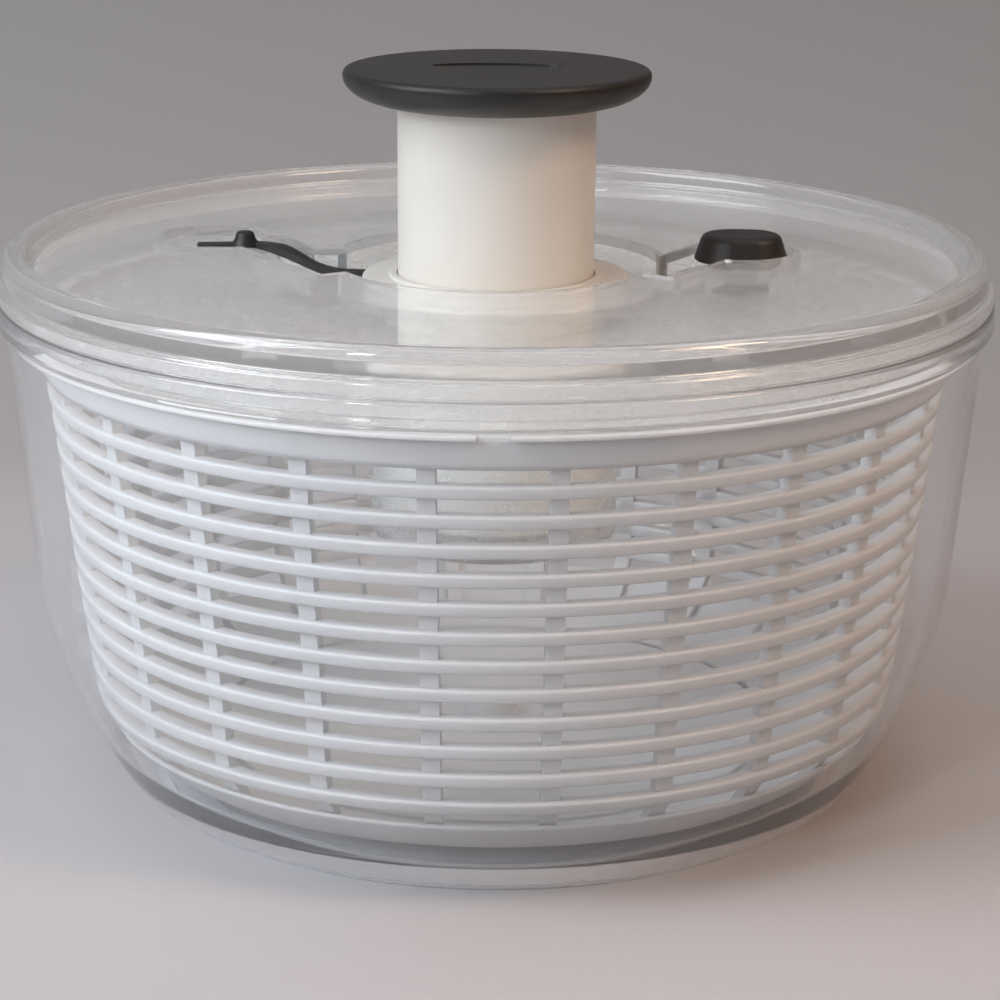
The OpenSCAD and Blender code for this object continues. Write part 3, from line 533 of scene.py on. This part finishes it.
# ---------------------------------------------------------------- Lid
# A clear moulded lid: a flat plate inside a raised rounded crest, a lip that rests on the
# bowl's rim, a plug that centres it, a round well for the hub, and two finger recesses that
# sweep back from the well, one for the lock on the left and one for the brake on the right.
lid_low, lid_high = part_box("lid_shell")
crest_z, lip_r = lid_high.z / mm, lid_high.x / mm
plate_z, lip_z = crest_z - 5, crest_z - 12
under_z, crest_in, crest_out, lid_wall = plate_z - 3, lip_r - 8.5, lip_r - 1.6, 2.5
plug_r, plug_z = 128.1, 131.5
well_r, well_z, neck_r, pocket_r = 44.5, plate_z - 8.7, 29.1, 14.35
brake_x, brake_y = 67.5, 13
lid = turned("lid", rounded([
    (0, plate_z, 0), (crest_in, plate_z, 1.4), (crest_in, crest_z, 2.4), (crest_out, crest_z, 3.0),
    (crest_out, lip_z + 4.1, 0.5), (lip_r, lip_z + 3.7, 0.8), (lip_r, lip_z, 0.6), (crest_out - 2.5, lip_z, 0.3),
    (crest_out - 2.5, lip_z + 3, 0.4), (plug_r, lip_z + 3, 0.4), (plug_r, plug_z, 0.5), (plug_r - 2.5, plug_z, 0.5),
    (plug_r - 2.5, under_z, 0.8), (0, under_z, 0)], 6), 192)


def recess(grow, shallow, deep, top):
    """Solid of the two finger recesses and the well: grown outwards by some mm, down to its floors."""
    def pad(x, y, half_x, half_y, radius, z):
        box = block((x - half_x - grow, y - half_y - grow, z), (x + half_x + grow, y + half_y + grow, top))
        bpy.ops.object.mode_set(mode="EDIT")
        bpy.ops.mesh.select_mode(type="EDGE")
        bpy.ops.mesh.select_all(action="DESELECT")
        bpy.ops.object.mode_set(mode="OBJECT")
        for edge in box.data.edges:
            a, b = (box.data.vertices[v].co for v in edge.vertices)
            edge.select = abs(a.z - b.z) > mm
        bpy.ops.object.mode_set(mode="EDIT")
        bpy.ops.mesh.bevel(offset=(radius + grow) * mm * 0.999, segments=12, affect="EDGES")
        bpy.ops.object.mode_set(mode="OBJECT")
        return box

    def channel(side, length, z):
        turn = 58.3 if side > 0 else 180 - 58.3
        x, y = side * 43, -13
        wide, near = (-9.5, 7) if side > 0 else (-7, 9.5)
        return block((x - 8, y + wide - grow, z), (x + length, y + near + grow, top), turn, (x, y))

    def sweep(z):
        """The outline along the lever's arm, pulled up from one point and filled."""
        outline = [(-38, -8), (-38, 16.4), (-50, 16.2), (-54.8, 18), (-61, 26), (-66.5, 31), (-70, 20), (-56, -2)]
        bpy.ops.object.select_all(action="DESELECT")
        bpy.ops.mesh.primitive_plane_add(size=0.01, location=(0, 0, 0))
        arm_recess = bpy.context.object
        bpy.ops.object.mode_set(mode="EDIT")
        bpy.ops.mesh.select_mode(type="VERT")
        bpy.ops.mesh.select_all(action="SELECT")
        bpy.ops.mesh.merge(type="CENTER")
        bpy.ops.transform.translate(value=Vector((*outline[0], z)) * mm)
        for (x0, y0), (x1, y1) in zip(outline, outline[1:]):
            bpy.ops.mesh.extrude_region_move(TRANSFORM_OT_translate={"value": ((x1 - x0) * mm, (y1 - y0) * mm, 0)})
        bpy.ops.mesh.select_all(action="SELECT")
        bpy.ops.mesh.edge_face_add()
        bpy.ops.mesh.extrude_region_move(TRANSFORM_OT_translate={"value": (0, 0, (top - z) * mm)})
        bpy.ops.mesh.select_all(action="SELECT")
        bpy.ops.mesh.normals_make_consistent(inside=False)
        bpy.ops.object.mode_set(mode="OBJECT")
        return arm_recess

    brake_z = plate_z - 6 + (deep - well_z)
    solids = [pad(-79.5, 26.9, 13.5, 15.1, 8, shallow), channel(-1, 46, shallow), sweep(shallow),
              channel(1, 34.7, brake_z)]
    near_lock = channel(-1, 46, deep)
    boolean(near_lock, sweep(deep), "UNION")
    reach = turned("reach", [(0, deep - 1), (66, deep - 1), (66, top + 1), (0, top + 1)], 96)
    boolean(near_lock, reach, "INTERSECT")
    pocket_z, pocket_top = brake_z - 0.25, top + 0.4
    pocket = turned("pocket", [(0, pocket_z), (pocket_r + grow, pocket_z), (pocket_r + grow, pocket_top),
                               (0, pocket_top)], 64, (brake_x, brake_y))
    well = turned("well", [(0, deep), (well_r + grow, deep), (well_r + grow, top), (0, top)], 144)
    for solid in [*solids, near_lock, pocket]:
        boolean(well, solid, "UNION")
        merged(well)
    return well


boolean(lid, recess(2.2, plate_z - 5, well_z - 2.4, plate_z - 1), "UNION")
merged(lid)
boolean(lid, recess(0, plate_z - 2.8, well_z, plate_z + 6))
merged(lid)
boolean(lid, turned("neck_hole", [(0, 120), (neck_r, 120), (neck_r, 150), (0, 150)], 96))
boolean(lid, turned("brake_sleeve", rounded([(0, 134.6, 0), (6.9, 134.6, 0.4), (6.9, 138.5, 0), (0, 138.5, 0)]),
                    48, (brake_x, brake_y)), "UNION")
boolean(lid, turned("stem_hole", [(0, 130), (5.3, 130), (5.3, 142), (0, 142)], 48, (brake_x, brake_y)))
merged(lid)
bpy.ops.object.select_all(action="DESELECT")
lid.select_set(True)
bpy.context.view_layer.objects.active = lid
bpy.ops.object.mode_set(mode="EDIT")
bpy.ops.mesh.select_all(action="SELECT")
bpy.ops.mesh.remove_doubles(threshold=0.00003)
bpy.ops.mesh.dissolve_limited(angle_limit=math.radians(0.5))
bpy.ops.object.mode_set(mode="OBJECT")
eased(lid, 0.7, 40, 3)
worn_clear = clear_plastic("worn_clear", (0.93, 0.935, 0.935), 0.03, 0.16, 0.0004, 0.89)
finish_piece(lid, worn_clear, "lid", "clear_shell", "lid_shell")

# ---------------------------------------------------------------- Mechanism housing
# A white cup under the lid that carries the spring and the shaft's bush. Three steel screws
# hold it and the hub collar to the floor of the well.
warm_white = moulded("warm_white", (0.83, 0.80, 0.75), (0.79, 0.755, 0.70), 0.33, soft=0.12)
steel = moulded("bright_steel", (0.62, 0.62, 0.63), (0.50, 0.50, 0.52), 0.24, metal=1.0, grain=0.00001)
slick = moulded("slick_nylon", (0.62, 0.61, 0.57), (0.56, 0.55, 0.51), 0.42, soft=0.1)
repaint(warm_white, "mechanism_housing", "nut_retainer", "knob_core")
repaint(steel, "housing_screws", "brake_clip", "knob_screws", "twisted_shaft", "clutch_pawls", "pawl_pins",
        "thrust_washer", "shaft_screw")
repaint(slick, "shaft_bush")

# ---------------------------------------------------------------- Hub collar
# A white flange seated in the well. Its neck guides the plunger tube, and the lock lever
# turns in a slot under its rounded edge.
collar_low, collar_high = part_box("hub_collar")
collar_top, flange_r, tube_r = collar_high.z / mm - 0.8, collar_high.x / mm, 26.6
collar = turned("hub_collar_ring", rounded([
    (tube_r + 0.3, collar_low.z / mm, 0), (neck_r, collar_low.z / mm, 0), (neck_r, well_z + 0.01, 0),
    (flange_r - 0.8, well_z + 0.01, 0.2), (flange_r - 0.8, collar_top - 1.6, 0), (flange_r, collar_top - 1.6, 0.5),
    (flange_r, collar_top, 0.8), (tube_r + 2.3, collar_top, 0.4), (tube_r + 2.2, collar_top + 0.8, 0.35),
    (tube_r + 0.3, collar_top + 0.8, 0.3)]), 168, ring=True)


def sector(inner, outer, start, end, low, high):
    """A block between two radii, two angles and two heights, swept round the axis."""
    middle = (low + high) / 2
    bpy.ops.object.select_all(action="DESELECT")
    bpy.ops.mesh.primitive_plane_add(size=1, location=((inner + outer) / 2 * mm, 0, middle * mm),
                                     rotation=(math.pi / 2, 0, 0))
    piece = bpy.context.object
    piece.scale = ((outer - inner) * mm, (high - low) * mm, 1)
    bpy.ops.object.transform_apply(location=True, rotation=True, scale=True)
    bpy.ops.object.mode_set(mode="EDIT")
    bpy.ops.mesh.select_all(action="SELECT")
    bpy.ops.mesh.spin(steps=max(4, int((end - start) / 2.5)), angle=math.radians(end - start), center=(0, 0, 0),
                      axis=(0, 0, 1))
    bpy.ops.mesh.select_all(action="SELECT")
    bpy.ops.mesh.remove_doubles(threshold=0.00001)
    bpy.ops.mesh.normals_make_consistent(inside=False)
    bpy.ops.object.mode_set(mode="OBJECT")
    piece.data.transform(Matrix.Rotation(math.radians(start), 4, "Z"))
    return piece


tab_z, tab_t = well_z + 0.3, 2.2
slot_top = tab_z + tab_t + 0.3
boolean(collar, sector(neck_r + 0.2, flange_r + 3, 148, 205, well_z - 0.2, slot_top))
boolean(collar, sector(tube_r - 2, neck_r + 1.5, 156, 171, well_z - 0.2, slot_top))
bpy.ops.object.select_all(action="DESELECT")
collar.select_set(True)
bpy.context.view_layer.objects.active = collar
bpy.ops.object.shade_smooth_by_angle(angle=math.radians(38))
finish_piece(collar, warm_white, "lid", "white_plastic", "hub_collar")

# ---------------------------------------------------------------- Brake
# A soft black oval button on a round stem. Pressed, its stem pushes a soft pad down to the
# drive plate; a steel clip keeps the stem in its sleeve and a coil spring lifts it again.
button_low, button_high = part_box("brake_button")
button_mid = ((button_low + button_high) / 2 / mm)
half_len, half_w = (button_high.x - button_low.x) / 2 / mm, (button_high.y - button_low.y) / 2 / mm
skirt_z, button_top, flare = 138 + 3.3, button_high.z / mm, 2.4
soft_black = moulded("soft_black", (0.013, 0.0125, 0.0125), (0.022, 0.019, 0.017), 0.46, grain=0.00006,
                     grain_scale=700.0)
bpy.ops.object.select_all(action="DESELECT")
button = turned("brake_button_cap", rounded([(0, skirt_z, 0), (half_w - 0.1, skirt_z, 0.6),
                                             (half_w - flare, button_top, 2.2), (0, button_top, 0)], 6), 72)
bpy.ops.object.mode_set(mode="EDIT")
bpy.ops.mesh.select_all(action="SELECT")
bpy.ops.mesh.bisect(plane_co=(0, 0, 0), plane_no=(1, 0, 0))
for side in (1, -1):
    bpy.ops.mesh.select_all(action="DESELECT")
    bpy.ops.object.mode_set(mode="OBJECT")
    for point in button.data.vertices:
        point.select = side * point.co.x > 1e-6
    bpy.ops.object.mode_set(mode="EDIT")
    bpy.ops.transform.translate(value=(side * (half_len - half_w) * mm, 0, 0))
bpy.ops.mesh.select_all(action="SELECT")
bpy.ops.transform.translate(value=(button_mid.x * mm, button_mid.y * mm, 0))
bpy.ops.object.mode_set(mode="OBJECT")
boolean(button, turned("hollow", [(0, skirt_z - 1), (7.2, skirt_z - 1), (7.2, button_top - 2.2), (0, button_top - 2.2)],
                       48, (button_mid.x, button_mid.y)))
boolean(button, turned("stem", rounded([(0, button_low.z / mm, 0), (4, button_low.z / mm, 0.3),
                                        (4, button_low.z / mm + 1.6, 0), (5, button_low.z / mm + 1.6, 0.3),
                                        (5, button_top - 1, 0), (0, button_top - 1, 0)]),
                       48, (button_mid.x, button_mid.y)), "UNION")
eased(button, 0.3, 60, 2)
finish_piece(button, soft_black, "brake", "soft_black", "brake_button")
repaint(soft_black, "brake_pad")


def coil(name, radius, wire, low, high, turns, middle=(0, 0), facets=10):
    """A wound wire spring between two heights: a round section carried up a screw."""
    bpy.ops.object.select_all(action="DESELECT")
    bpy.ops.mesh.primitive_circle_add(vertices=facets, radius=wire / 2 * mm, fill_type="NOTHING",
                                      location=(radius * mm, 0, (low + wire / 2) * mm), rotation=(math.pi / 2, 0, 0))
    piece = bpy.context.object
    piece.name = piece.data.name = name
    bpy.ops.object.transform_apply(location=True, rotation=True, scale=True)
    screw = piece.modifiers.new("wind", "SCREW")
    screw.angle, screw.screw_offset = 2 * math.pi * turns, (high - low - wire) * mm
    screw.steps = screw.render_steps = int(turns * 40)
    screw.use_merge_vertices = False
    bpy.ops.object.modifier_apply(modifier="wind")
    bpy.ops.object.mode_set(mode="EDIT")
    bpy.ops.mesh.select_mode(type="EDGE")
    bpy.ops.mesh.select_all(action="DESELECT")
    bpy.ops.mesh.select_non_manifold()
    bpy.ops.mesh.fill()
    bpy.ops.mesh.select_all(action="SELECT")
    bpy.ops.mesh.normals_make_consistent(inside=False)
    bpy.ops.object.mode_set(mode="OBJECT")
    piece.data.transform(Matrix.Translation(Vector((middle[0], middle[1], 0)) * mm))
    bpy.ops.object.shade_smooth_by_angle(angle=math.radians(50))
    return piece


spring_low, spring_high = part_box("brake_spring")
brake_coil = coil("brake_coil", 6.2, 0.7, spring_low.z / mm, spring_high.z / mm, 5, (button_mid.x, button_mid.y))
finish_piece(brake_coil, steel, "brake", "steel", "brake_spring")

# ---------------------------------------------------------------- Lock lever
# A thin black strip in the left recess with a raised nub for the finger. It dips in an S
# curve to the well and ends under the collar in a curved foot whose tab catches the tube.
lever_low, lever_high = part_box("lock_lever")
strip_z = plate_z - 2.8 + 0.3
way = [(-83.5, 25.0, 0, 0.9), (-78, 25.1, 0, 1.0), (-72, 25.2, 0, 1.2), (-67, 25.2, 0, 1.3),
       (-64.8, 23.3, 0, 1.6), (-62.6, 20.4, 0, 1.9), (-60, 17.2, 0.02, 2.2), (-57.6, 14.4, 0.08, 2.2),
       (-55, 12.7, 0.22, 2.2), (-52, 11.8, 0.45, 2.2), (-49, 11.8, 0.70, 2.2), (-46, 11.9, 0.88, 2.2),
       (-42.5, 11.8, 1, 2.2), (-38, 11.4, 1, 2.2), (-33, 11.0, 1, 2.2)]
strip_w, tab_drop = 4.0, strip_z - tab_z
bpy.ops.object.select_all(action="DESELECT")
bpy.ops.mesh.primitive_plane_add(size=1, location=(0, 0, 0), rotation=(0, math.pi / 2, 0))
lever = bpy.context.object
lever.name = lever.data.name = "lock_lever_strip"
lever.scale = (way[0][3] * mm, strip_w * mm, 1)
bpy.ops.object.transform_apply(location=True, rotation=True, scale=True)
bpy.ops.object.mode_set(mode="EDIT")
bpy.ops.mesh.select_all(action="SELECT")
here, heading, tall = Vector((0, 0, 0)), 0.0, way[0][3]
for i, (x, y, dip, thick) in enumerate(way):
    point = Vector((x, y, strip_z - tab_drop * dip + thick / 2))
    (x0, y0), (x1, y1) = way[max(i - 1, 0)][:2], way[min(i + 1, len(way) - 1)][:2]
    turn = math.atan2(y1 - y0, x1 - x0)
    if i == 0:
        bpy.ops.transform.translate(value=(point - here) * mm)
    else:
        bpy.ops.mesh.extrude_region_move(TRANSFORM_OT_translate={"value": (point - here) * mm})
    bpy.ops.transform.rotate(value=heading - turn, orient_axis="Z", center_override=point * mm)
    bpy.ops.transform.resize(value=(1, 1, thick / tall), center_override=point * mm)
    here, heading, tall = point, turn, thick
bpy.ops.mesh.select_all(action="SELECT")
bpy.ops.mesh.normals_make_consistent(inside=False)
bpy.ops.object.mode_set(mode="OBJECT")
boolean(lever, sector(29.6, 34.6, 151, 195, tab_z, tab_z + tab_t), "UNION")
boolean(lever, sector(tube_r - 1.3, 30.6, 157.25, 162.75, tab_z, tab_z + tab_t), "UNION")
boolean(lever, turned("nub", rounded([(0, strip_z + 0.4, 0), (4.2, strip_z + 0.4, 0.3), (2.9, strip_z + 2.4, 2.0),
                                      (2.3, lever_high.z / mm, 1.2), (0, lever_high.z / mm, 0)]), 40, (-70.2, 25.3)),
        "UNION")
eased(lever, 0.3, 40, 2)
finish_piece(lever, soft_black, "lock", "black_plastic", "lock_lever")

# ---------------------------------------------------------------- Plunger tube
# A white moulded tube, closed at the top, that slides in the collar. A guide groove runs up
# its left side and ends in two notches, and the steel return spring pushes the nut inside
# it upwards.
tube_low, tube_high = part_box("plunger_tube")
tube_z, tube_top = tube_low.z / mm, tube_high.z / mm
nut_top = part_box("drive_nut")[1].z / mm
inner_r, ledge_r, groove_r = tube_r - 2.8, tube_r - 6.8, tube_r - 1.6
tube = turned("plunger_sleeve", rounded([
    (0, tube_top - 2.2, 0), (inner_r, tube_top - 2.2, 1), (inner_r, nut_top + 2, 0.5), (ledge_r, nut_top + 2, 0.3),
    (ledge_r, nut_top, 0.2), (inner_r, nut_top, 0), (inner_r, tube_z, 0.5), (tube_r, tube_z, 0.6),
    (tube_r, tube_top, 0.5), (0, tube_top, 0)]), 180)
notch_z = tab_z + tab_t / 2 + 42.5
for start, end, low, high in ((150, 210, notch_z - 1.9, notch_z + 1.9), (156.05, 163.95, tube_z - 1, notch_z),
                              (160, 170.95, tab_z - 0.8, tab_z + tab_t + 0.8)):
    boolean(tube, sector(groove_r, tube_r + 2, start, end, low, high))
eased(tube, 0.25, 50, 2)
finish_piece(tube, warm_white, "plunger", "white_plastic", "plunger_tube")
spring_low, spring_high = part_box("return_spring")
return_coil = coil("return_coil", 14, 1.4, spring_low.z / mm, spring_high.z / mm, 7, facets=12)
finish_piece(return_coil, steel, "plunger", "steel", "return_spring")

# ---------------------------------------------------------------- Knob
# A wide soft black cap over a stiff white disc, screwed to the tube's top. Its top is flat
# with a shallow plain oval, its edge is rounded and its underside is curved like a bowl.
cap_low, cap_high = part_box("knob_cap")
knob_z, knob_top, knob_r = cap_low.z / mm, cap_high.z / mm, cap_high.x / mm
throat_r = tube_r + 0.4
edge_z = knob_top - 1.9
under = [Vector((throat_r + (knob_r - throat_r) * math.sin(math.radians(a)),
                 edge_z - (edge_z - knob_z) * math.cos(math.radians(a)))) for a in range(0, 91, 9)]
cap = turned("knob_grip", [Vector((0, knob_top - 2.6)), Vector((knob_r - 8, knob_top - 2.6)),
                           Vector((throat_r, knob_z + 2.2))] + under
             + rounded([(knob_r, edge_z, 0), (knob_r, knob_top, 1.7), (0, knob_top, 0)], 8)[1:], 180)
bpy.ops.object.select_all(action="DESELECT")
bpy.ops.mesh.primitive_cylinder_add(vertices=72, radius=1, depth=1.0 * mm, location=(0, 4 * mm, knob_top * mm))
oval = bpy.context.object
oval.scale = (17.5 * mm, 5.5 * mm, 1)
bpy.ops.object.transform_apply(location=True, rotation=True, scale=True)
boolean(cap, oval)
eased(cap, 0.25, 50, 2)
finish_piece(cap, soft_black, "plunger", "soft_black", "knob_cap")

low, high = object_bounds()
